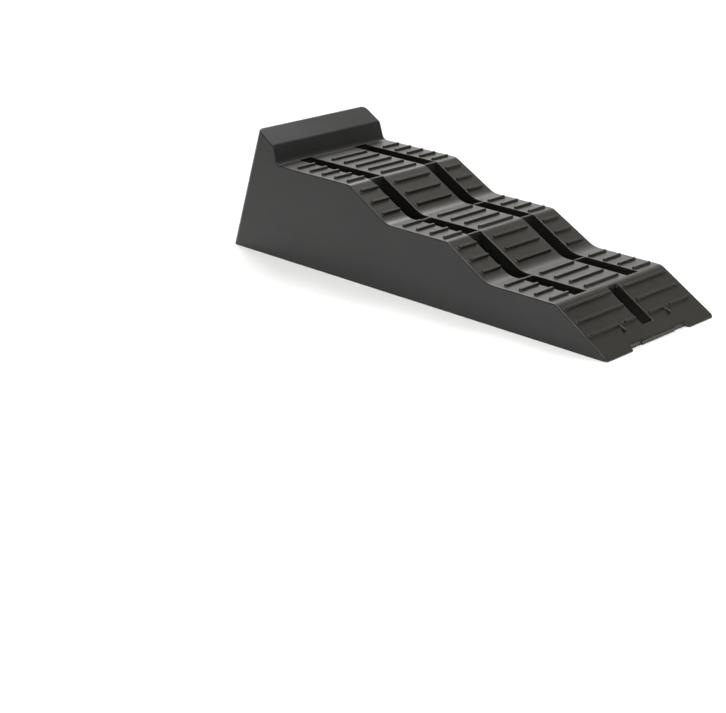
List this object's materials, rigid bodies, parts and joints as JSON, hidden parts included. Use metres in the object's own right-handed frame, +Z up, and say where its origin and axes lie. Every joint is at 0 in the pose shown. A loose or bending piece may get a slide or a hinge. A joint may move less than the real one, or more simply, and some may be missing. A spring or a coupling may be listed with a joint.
{
  "type": "vehicle levelling ramp",
  "caption": "Moulded plastic drive-on levelling ramp for a caravan or motorhome wheel, with a ribbed climb of level platforms, a wheel stop and a hand hole in its rear wall",
  "frame": {"origin": "on the ground under the middle of the ramp's box", "axes": "+Y up the climb, from the toe to the rear wall; +Z up; +X to the right of a driver who drives up the ramp"},
  "size_m": [0.203, 0.574, 0.1516],
  "materials": {
    "wall_plastic": "charcoal polyethylene, fine moulded grain, satin",
    "tread_plastic": "charcoal polyethylene, fine moulded grain, satin",
    "rib_plastic": "charcoal polyethylene, smooth from the core of the mould"
  },
  "bodies": {
    "root": {"side_wall_left": "wall_plastic", "side_wall_right": "wall_plastic", "rear_wall": "wall_plastic", "wheel_stop": "wall_plastic", "hand_pocket_back": "wall_plastic", "hand_pocket_left": "wall_plastic", "hand_pocket_right": "wall_plastic", "toe_plate": "tread_plastic", "low_platform_left": "tread_plastic", "low_platform_centre": "tread_plastic", "low_platform_right": "tread_plastic", "lower_step_left": "tread_plastic", "lower_step_centre": "tread_plastic", "lower_step_right": "tread_plastic", "middle_platform_left": "tread_plastic", "middle_platform_centre": "tread_plastic", "middle_platform_right": "tread_plastic", "upper_step_left": "tread_plastic", "upper_step_centre": "tread_plastic", "upper_step_right": "tread_plastic", "high_platform_left": "tread_plastic", "high_platform_centre": "tread_plastic", "high_platform_right": "tread_plastic", "slot_web_left_outer": "rib_plastic", "slot_web_left_inner": "rib_plastic", "slot_web_right_inner": "rib_plastic", "slot_web_right_outer": "rib_plastic", "cross_rib_low_crest": "rib_plastic", "cross_rib_low_valley": "rib_plastic", "cross_rib_middle_crest": "rib_plastic", "cross_rib_high_valley": "rib_plastic", "cross_rib_high_crest": "rib_plastic", "toe_web_left": "rib_plastic", "toe_web_right": "rib_plastic"}
  },
  "joints": []
}
